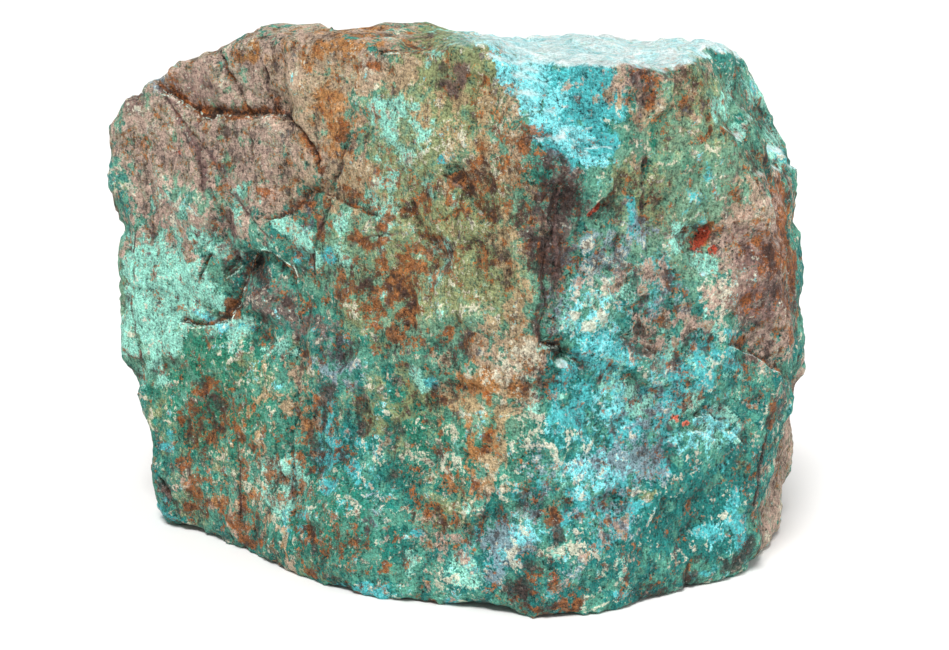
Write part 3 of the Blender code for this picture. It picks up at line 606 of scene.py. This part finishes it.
# How common each is where no patch shows: the size of its clumps in millimetres, the middle and the spread
# of its strength there, and the least strength it has on the top, which is painted pale as if lit from
# above.
# The last three aren't minerals: green turns teal and host rock greener, calm leaves the ground plain and
# sage, and fresh is a new break.
ELSEWHERE = {
    "host": (26, 0.5, 0.85, 0),
    "ochre": (17, 0.28, 0.6, 0),
    "rust": (11, 0.25, 0.65, 0),
    "umber": (13, 0.26, 0.6, 0),
    "pale": (19, 0.34, 0.7, 0.7),
    "bright": (15, 0.3, 0.7, 0),
    "ice": (12, 0.1, 0.5, 0.6),
    "deep": (21, 0.42, 0.8, 0),
    "olive": (20, 0.34, 0.7, 0),
    "mauve": (15, 0.22, 0.7, 0),
    "cream": (14, 0.3, 0.5, 0.4),
    "lavender": (16, 0.22, 0.55, 0),
    "red": (9, 0.02, 0.45, 0),
    "coral": (9, -0.4, 0.2, 0),
    "green": (30, 0.4, 0.8, 0),
    "calm": (25, 0.3, 0.6, 0),
    "fresh": (20, 0.1, 0.6, 0),
}
MOST_WILD = 0.95  # the most strength that a zone has where no patch shows

# These are flecked all over the stone, at least this strongly, but less where it is ice blue or fresh.
FLECKS = {"cream": 0.1, "rust": 0.2, "umber": 0.2}
CLEAN_SHARE = 0.9  # how much of the flecks' strength goes there
CALM_SHARE = 0.5  # how much of the cream's strength goes where the rock is calm

FULL_CRACK = 0.6 * MM  # the depth at which a crack is fully dark
FULL_RELIEF = 0.45 * MM  # the height at which the relief layer reaches 1


def drawn(spots, patches):
    """The strongest patch's strength at each spot."""
    strength = np.zeros(len(spots))
    for across, up, reach_x, reach_z, percent, *turned in patches:
        turn = math.radians(sum(turned))
        offset = spots - np.array((across, up)) * MM
        along = (offset[:, 0] * math.cos(turn) + offset[:, 1] * math.sin(turn)) / (reach_x * MM)
        over = (offset[:, 1] * math.cos(turn) - offset[:, 0] * math.sin(turn)) / (reach_z * MM)
        shape = fade((np.hypot(along, over) - PATCH_FLAT) / PATCH_FADE)
        strength = np.maximum(strength, percent / 100 * shape)
    return strength


def lip_zones(points, facings):
    """Where the lips' painted highlight lies, and the dark recess that each hangs over, painted shade with
    rust stain, wider the deeper it is.
    """
    lips, recesses = np.zeros(len(points)), np.zeros(len(points))
    for (rise, drop), away, left, share in along_lines(LIPS, LIP_WANDER, LIP_END, points, facings):
        lips = np.maximum(lips, share * ~left * fade(away / LIP_HIGHLIGHT_REACH) * min(1, rise / FULL_RISE))
        shade = fade(away / ((0.5 + 0.6 * drop) * MM)) * min(1, drop)
        recesses = np.maximum(recesses, share * left * shade)
    return lips, recesses


def write_layer(mesh, name, strength):
    layer = mesh.attributes.new(name, "FLOAT", "POINT")
    layer.data.foreach_set("value", strength.astype(np.float32))


def zones_and_painted_light(mesh, heights):
    """Writes each zone's strength, the cracks, where the lips' painted highlight and the recesses' painted
    shade go, the relief, and the top painted as lit, onto the mesh's points.
    """
    points, facings = points_of(mesh), facings_of(mesh)
    seen = fade((facings[:, 1] - DRAWN_FROM) / DRAWN_FADE)
    top = fade((TOP_FROM - facings[:, 2]) / TOP_FADE) * fade((TOP_EDGE - points[:, 0]) / TOP_RUN)
    spots = wandering(points, *PATCH_WANDER)
    strengths = {}
    for seed, (name, (size, middle, spread, on_top)) in enumerate(ELSEWHERE.items()):
        wild = middle + spread * fractal(points, size * MM, 2, 11.0 + 3 * seed)
        strength = drawn(spots, PATCHES[name]) * seen + np.clip(wild, 0, MOST_WILD) * (1 - seen)
        strength = strength * (1 - top) + np.maximum(strength, on_top) * top
        strengths[name] = np.maximum(strength, FLECKS.get(name, 0))
    clean = 1 - CLEAN_SHARE * np.maximum(strengths["ice"], strengths["fresh"])
    strengths["cream"] *= 1 - CALM_SHARE * strengths["calm"]
    for name, strength in strengths.items():
        write_layer(mesh, name, strength * clean if name in FLECKS else strength)
    # lip holds where the painted highlight goes, and recess where painted shade with rust stain goes.
    lips, recesses = lip_zones(points, facings)
    write_layer(mesh, "lip", lips)
    write_layer(mesh, "recess", recesses)
    write_layer(mesh, "crack", np.clip(-crack_heights(points, facings) / FULL_CRACK, 0, 1))
    write_layer(mesh, "relief", np.clip(heights / FULL_RELIEF, -1, 1))
    write_layer(mesh, "lit_top", top)


# ---------------------------------------------------------------- shader sums


def tint(red, green, blue):
    """A colour given the way a paint chart does, 0 to 255, as the shader's own linear values."""
    linear = [part / 12.92 if part <= 0.04045 else ((part + 0.055) / 1.055) ** 2.4
              for part in (red / 255, green / 255, blue / 255)]
    return (*linear, 1)


class Level:
    """A number that varies over the surface. Sums on it add Math nodes."""

    def __init__(self, finish, socket):
        self.finish = finish
        self.socket = socket

    def sum(self, operation, *terms, clamp=False):
        settings = {"operation": operation, "use_clamp": clamp}
        return self.finish.level("ShaderNodeMath", settings, dict(enumerate(terms)))

    def __add__(self, other):
        return self.sum("ADD", self, other)

    __radd__ = __add__

    def __sub__(self, other):
        return self.sum("SUBTRACT", self, other)

    def __rsub__(self, other):
        return self.sum("SUBTRACT", other, self)

    def __mul__(self, other):
        return self.sum("MULTIPLY", self, other)

    __rmul__ = __mul__

    def distance_from(self, other):
        return self.sum("ABSOLUTE", self - other)

    def held(self):
        """Kept between 0 and 1."""
        return self.sum("ADD", self, 0, clamp=True)

    def edge(self, sharpness):
        """0 below nothing, 1 above, over a slope of that sharpness."""
        return self.sum("MULTIPLY_ADD", self, sharpness, 0.5, clamp=True)


class Finish:
    """One material, built up on a Principled shader."""

    def __init__(self, name):
        self.material = bpy.data.materials.new(name)
        self.material.use_nodes = True
        self.tree = self.material.node_tree
        self.shader = self.tree.nodes["Principled BSDF"]
        self.place = self.tree.nodes.new("ShaderNodeTexCoord").outputs["Object"]

    def feed(self, socket, value):
        if isinstance(value, Level):
            value = value.socket
        if isinstance(value, bpy.types.NodeSocket):
            self.tree.links.new(value, socket)
        else:
            socket.default_value = value

    def node(self, kind, settings, inputs):
        made = self.tree.nodes.new(kind)
        for name, value in settings.items():
            setattr(made, name, value)
        for key, value in inputs.items():
            self.feed(made.inputs[key], value)
        return made

    def level(self, kind, settings, inputs, output=0):
        return Level(self, self.node(kind, settings, inputs).outputs[output])

    def vector_sum(self, operation, inputs):
        return self.node("ShaderNodeVectorMath", {"operation": operation}, inputs).outputs[0]

    def zone(self, name):
        return self.level("ShaderNodeAttribute", {"attribute_name": name}, {}, "Fac")

    def shifted(self, seed, stretch=(1, 1, 1)):
        inputs = {"Vector": self.place, "Location": (seed, -seed, seed / 2), "Scale": stretch}
        return self.node("ShaderNodeMapping", {}, inputs).outputs[0]

    def mottle(self, size, seed, detail=5.0, roughness=0.6, stretch=(1, 1, 1)):
        inputs = {
            "Vector": self.shifted(seed, stretch),
            "Scale": 1 / size,
            "Detail": detail,
            "Roughness": roughness,
        }
        return self.level("ShaderNodeTexNoise", {}, inputs)

    def warped(self, seed, size, wander):
        """Places pushed about at random, so that straight edges come out ragged."""
        inputs = {"Vector": self.shifted(seed), "Scale": 1 / size, "Detail": 3}
        pushes = self.node("ShaderNodeTexNoise", {}, inputs).outputs["Color"]
        push = self.vector_sum("SUBTRACT", {0: pushes, 1: (0.5, 0.5, 0.5)})
        push = self.vector_sum("SCALE", {0: push, "Scale": 4 * wander})
        return self.vector_sum("ADD", {0: self.shifted(seed), 1: push})

    def grains(self, size, seed, wander=0):
        """Each grain's own two random numbers, and how far the spot is from the grain's middle."""
        place = self.warped(seed, size, wander) if wander else self.shifted(seed)
        made = self.node("ShaderNodeTexVoronoi", {}, {"Vector": place, "Scale": 1 / size})
        parts = self.node("ShaderNodeSeparateColor", {}, {0: made.outputs["Color"]})
        return [Level(self, socket) for socket in (*parts.outputs[:2], made.outputs["Distance"])]

    def blend(self, amount, under, over):
        settings = {"data_type": "RGBA", "clamp_factor": True}
        return self.node("ShaderNodeMix", settings, {0: amount, 6: under, 7: over}).outputs[2]

    def brighten(self, colour, amount):
        """The colour times a number that varies."""
        return self.vector_sum("SCALE", {0: colour, "Scale": amount})


# ---------------------------------------------------------------- the stone's material

MIDDLE_GREEN = tint(88, 162, 140)
SAGE = tint(132, 170, 138)
OLIVE = tint(150, 154, 102)
DEEP_TEAL = tint(22, 126, 120)
DEEP_GREEN = tint(38, 134, 104)
PALE_MINT = tint(154, 226, 206)
BRIGHT_BLUE = tint(78, 188, 192)
ICE_BLUE = tint(130, 226, 232)
HOST_TAN = tint(191, 164, 148)
HOST_GREY = tint(150, 156, 132)
HOST_GOLD = tint(184, 162, 114)
OCHRE = tint(186, 132, 78)
RUST = tint(184, 104, 40)
DARK_RUST = tint(116, 60, 22)
UMBER = tint(58, 44, 40)
CREAM = tint(212, 208, 184)
LAVENDER = tint(140, 166, 178)
RED = tint(184, 72, 44)
CORAL = tint(236, 120, 92)
MAUVE = tint(124, 94, 90)
CRACK_DARK = tint(44, 32, 24)
# A painted highlight colour, for the lit edges of the lips and for fine glints.
HIGHLIGHT_MINT = tint(206, 230, 216)
LIT_TOP_WHITE = tint(232, 246, 244)

WEB_WIDTH = 0.028  # how far either side of its middle the noise still counts as a thin line of rust
BUMP_DEPTH = 0.4 * MM


def swing(finish, size, seed, detail=5, roughness=0.6, stretch=(1, 1, 1)):
    """Mottling that swings either side of nothing, mostly within a half."""
    return (finish.mottle(size, seed, detail, roughness, stretch) - 0.5) * 3


def cover(finish, name, broken, sharpness=5):
    """How much of a spot a mineral covers: its zone, broken up by the mottling."""
    return (finish.zone(name) - 0.5 + broken).edge(sharpness)


def laid(finish, colour, name, over, broken, sharpness, share):
    """The colour with a mineral laid over it in the mineral's zone, covering up to that share."""
    return finish.blend(cover(finish, name, broken, sharpness) * share, colour, over)


def green_ground(finish, teal, broken):
    """What shows where no mineral covers it: middling green, sage where it is calm, patched with teal."""
    calm = finish.zone("calm")
    plain_green = finish.blend(calm, MIDDLE_GREEN, SAGE)
    return finish.blend(broken.edge(2.2) * (1 - 0.7 * calm), plain_green, teal)


def host_rock(finish, blotch, spot, spot_b):
    """Tan and grey, golden in the green zones, with ochre stains."""
    host = finish.blend((spot_b + blotch * 0.4 - 0.12).edge(2.2), HOST_TAN, HOST_GREY)
    host = finish.blend(finish.zone("green") * 0.8, host, HOST_GOLD)
    return finish.blend(cover(finish, "ochre", blotch + spot * 0.4, 3), host, OCHRE)


def marked(finish, colour, spot, spot_b, grit):
    """The colour with the dark recesses (painted shade with rust stain), the cracks, and the lips' painted
    highlight over it.
    """
    # Painted shade with rust stain in the recess behind each lip: dark rust and near-black brown.
    recess = (finish.zone("recess") + spot * 0.3 + grit * 0.3 - 0.4).edge(3)
    colour = finish.blend(recess * 0.8, colour, finish.blend((spot_b + 0.1).edge(3), RUST, CRACK_DARK))
    crack = finish.zone("crack") + grit * 0.25
    colour = finish.blend((crack * 2).held() * 0.6, colour, MAUVE)
    colour = finish.blend((crack * 2 - 0.9).held(), colour, CRACK_DARK)
    # The lips get a painted highlight, pale where light would catch their edges.
    lip = (finish.zone("lip") + grit * 0.6 - 0.6).edge(4)
    return finish.blend(lip * 0.7, colour, HIGHLIGHT_MINT)


def turquoise_rock():
    """Minerals laid one over another, each broken up by mottling of several sizes, then grit and bumps."""
    finish = Finish("turquoise_rock")
    broad = swing(finish, 9 * MM, 1.3, 3)
    blotch = swing(finish, 4 * MM, 4.1)
    blotch_b = swing(finish, 3.2 * MM, 7.7, 6)
    spot = swing(finish, 1.6 * MM, 12.9)
    spot_b = swing(finish, 1.4 * MM, 15.4)
    grit = swing(finish, 0.55 * MM, 2.9, 3, 0.7)
    grit_b = swing(finish, 0.32 * MM, 9.2, 3, 0.7)
    streak = swing(finish, 1.6 * MM, 3.3, 4, 0.65, (1, 1, 0.22))
    scratch = swing(finish, 0.5 * MM, 6.6, 3, 0.65, (1, 1, 0.25))
    cell, cell_b, cell_gap = finish.grains(0.6 * MM, 5.5)
    flake, flake_b, flake_gap = finish.grains(2.1 * MM, 8.5, 0.9 * MM)
    relief = finish.zone("relief")

    teal = finish.blend(finish.zone("green"), DEEP_TEAL, DEEP_GREEN)
    rust = finish.blend((spot + grit * 0.5).edge(2.5), RUST, DARK_RUST)
    colour = green_ground(finish, teal, blotch + streak * 0.4 + (flake - 0.5) * 0.6)
    # Ice and cream lean towards raised spots, a little painted light.
    for name, over, broken, sharpness, share in (
        ("olive", OLIVE, spot * 0.6 + broad * 0.4 + grit * 0.3, 3, 0.85),
        ("deep", teal, blotch_b + grit * 0.25, 5, 1),
        ("pale", PALE_MINT, blotch * 0.8 + grit_b * 0.2, 5, 1),
        ("bright", BRIGHT_BLUE, blotch_b * 0.9 + grit * 0.25, 5, 1),
        ("host", host_rock(finish, blotch, spot, spot_b), blotch_b + streak * 0.4 + grit * 0.3, 5, 1),
        ("mauve", MAUVE, spot * 0.7 + grit_b * 0.4, 3, 0.85),
        ("lavender", LAVENDER, spot + grit_b * 0.4, 5, 0.85),
        ("ice", ICE_BLUE, spot_b * 0.8 + grit * 0.3 + relief * 0.2, 5, 1),
        ("cream", CREAM, spot * 0.9 + grit * 0.45 + relief * 0.2, 6, 0.8),
        ("rust", rust, spot_b * 0.8 + blotch * 0.3 + grit_b * 0.5 - relief * 0.15, 6, 0.85),
    ):
        colour = laid(finish, colour, name, over, broken, sharpness, share)
    web = (WEB_WIDTH - finish.mottle(2.6 * MM, 21.3, 4, 0.65).distance_from(0.5)) * 40
    colour = finish.blend(web.held() * (finish.zone("rust") * 2.5 - 0.5).held() * 0.85, colour, DARK_RUST)
    # Umber leans to low relief, so it darkens hollows: partly painted shade.
    dark = streak * 0.4 + spot * 0.6 + grit_b * 0.5 - relief * 0.2
    colour = laid(finish, colour, "umber", UMBER, dark, 6, 0.8)
    for name, over, broken in (("red", RED, spot * 0.8 + grit * 0.6), ("coral", CORAL, grit * 0.5)):
        colour = laid(finish, colour, name, over, broken, 4, (finish.zone(name) * 3).held())
    pinholes = (grit_b + grit * 0.5 - 0.54).edge(5)
    colour = finish.blend(pinholes * 0.6, colour, CRACK_DARK)
    # Painted glints: tiny pale specks standing in for light catching the grains.
    painted_glints = (grit - grit_b * 0.5 - 0.58).edge(5)
    colour = finish.blend(painted_glints * 0.6, colour, HIGHLIGHT_MINT)
    # The up-facing top is painted near white as if lit from above, over its own pale colour.
    lit_top = finish.zone("lit_top")
    colour = finish.blend(lit_top * (0.68 + blotch * 0.5 + spot * 0.5), colour, LIT_TOP_WHITE)
    colour = marked(finish, colour, spot, spot_b, grit)

    fine = grit * 0.7 + grit_b * 1.05 + scratch * 0.5 + (cell - 0.5) * 0.34
    # The relief term lightens raised spots and darkens hollows: painted light and shade.
    coarse = spot * 0.28 + (flake_b - 0.5) * 0.2 - (flake_gap - 0.5) * 0.2 + relief * 0.2
    # The grain's tone is washed out on the painted-lit top.
    colour = finish.brighten(colour, 0.97 + (fine + coarse) * (1 - 0.6 * lit_top))
    finish.feed(finish.shader.inputs["Base Color"], colour)
    finish.feed(finish.shader.inputs["Roughness"], 0.84 - 0.14 * cell_b)
    finish.shader.inputs["Specular IOR Level"].default_value = 0.35

    height = grit * 0.5 + grit_b * 0.3 + spot * 0.9 - cell_gap * 0.4 + flake * 0.6 + blotch * 0.6
    bump = finish.node("ShaderNodeBump", {}, {"Height": height, "Distance": BUMP_DEPTH, "Strength": 1.0})
    finish.feed(finish.shader.inputs["Normal"], bump.outputs[0])
    return finish.material


# ---------------------------------------------------------------- floor, light and camera

FLOOR_REACH = 6  # from the stone to the floor's edge
FLOOR_COLOUR = (0.82, 0.81, 0.8, 1)
SKY_COLOUR = (1, 0.99, 0.975, 1)
SKY_STRENGTH = 0.4

# Soft lights: the azimuth and height they come from, their power, and how wide they are, in degrees.
SUNS = {"key": (260, 58, 3.5, 20), "fill": (-15, 25, 0.7, 40)}

CAMERA_PLACE = (0.0036, -0.2954, 0.105)
CAMERA_DIP = 13.1  # degrees that it looks down
CAMERA_LENS = 67.14  # millimetres, on a sensor this wide
SENSOR_WIDTH = 36
NEAREST_SEEN = 0.01


def pale_floor():
    bm = bmesh.new()
    bmesh.ops.create_grid(bm, x_segments=1, y_segments=1, size=FLOOR_REACH)
    mesh = bpy.data.meshes.new("floor")
    bm.to_mesh(mesh)
    bm.free()
    floor = bpy.data.objects.new("floor", mesh)
    bpy.context.scene.collection.objects.link(floor)
    finish = Finish("pale_floor")
    finish.shader.inputs["Base Color"].default_value = FLOOR_COLOUR
    finish.shader.inputs["Roughness"].default_value = 0.9
    mesh.materials.append(finish.material)


def soft_sun(name, azimuth, height, power, spread):
    light = bpy.data.lights.new(name, "SUN")
    light.energy = power
    light.angle = math.radians(spread)
    sun = bpy.data.objects.new(name, light)
    rise = math.radians(height)
    away = Vector((*(heading(azimuth) * math.cos(rise))[:2], math.sin(rise)))
    sun.rotation_euler = away.to_track_quat("Z", "Y").to_euler()
    bpy.context.scene.collection.objects.link(sun)


def light_the_studio():
    world = bpy.data.worlds.new("studio")
    world.use_nodes = True
    sky = world.node_tree.nodes["Background"]
    sky.inputs["Color"].default_value = SKY_COLOUR
    sky.inputs["Strength"].default_value = SKY_STRENGTH
    bpy.context.scene.world = world
    for name, sun in SUNS.items():
        soft_sun(name, *sun)


def set_camera():
    lens = bpy.data.cameras.new("camera")
    lens.sensor_width = SENSOR_WIDTH
    lens.lens = CAMERA_LENS
    lens.clip_start = NEAREST_SEEN
    camera = bpy.data.objects.new("camera", lens)
    camera.location = CAMERA_PLACE
    camera.rotation_euler = (math.radians(90 - CAMERA_DIP), 0, 0)
    bpy.context.scene.collection.objects.link(camera)
    bpy.context.scene.camera = camera
    bpy.context.scene.view_settings.view_transform = "Standard"


def main():
    set_camera()
    light_the_studio()
    pale_floor()
    stone = stone_mesh()
    stone.data.materials.clear()
    stone.data.materials.append(turquoise_rock())
    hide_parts(NODE)
    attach(stone, "root")
    bpy.context.view_layer.update()


main()
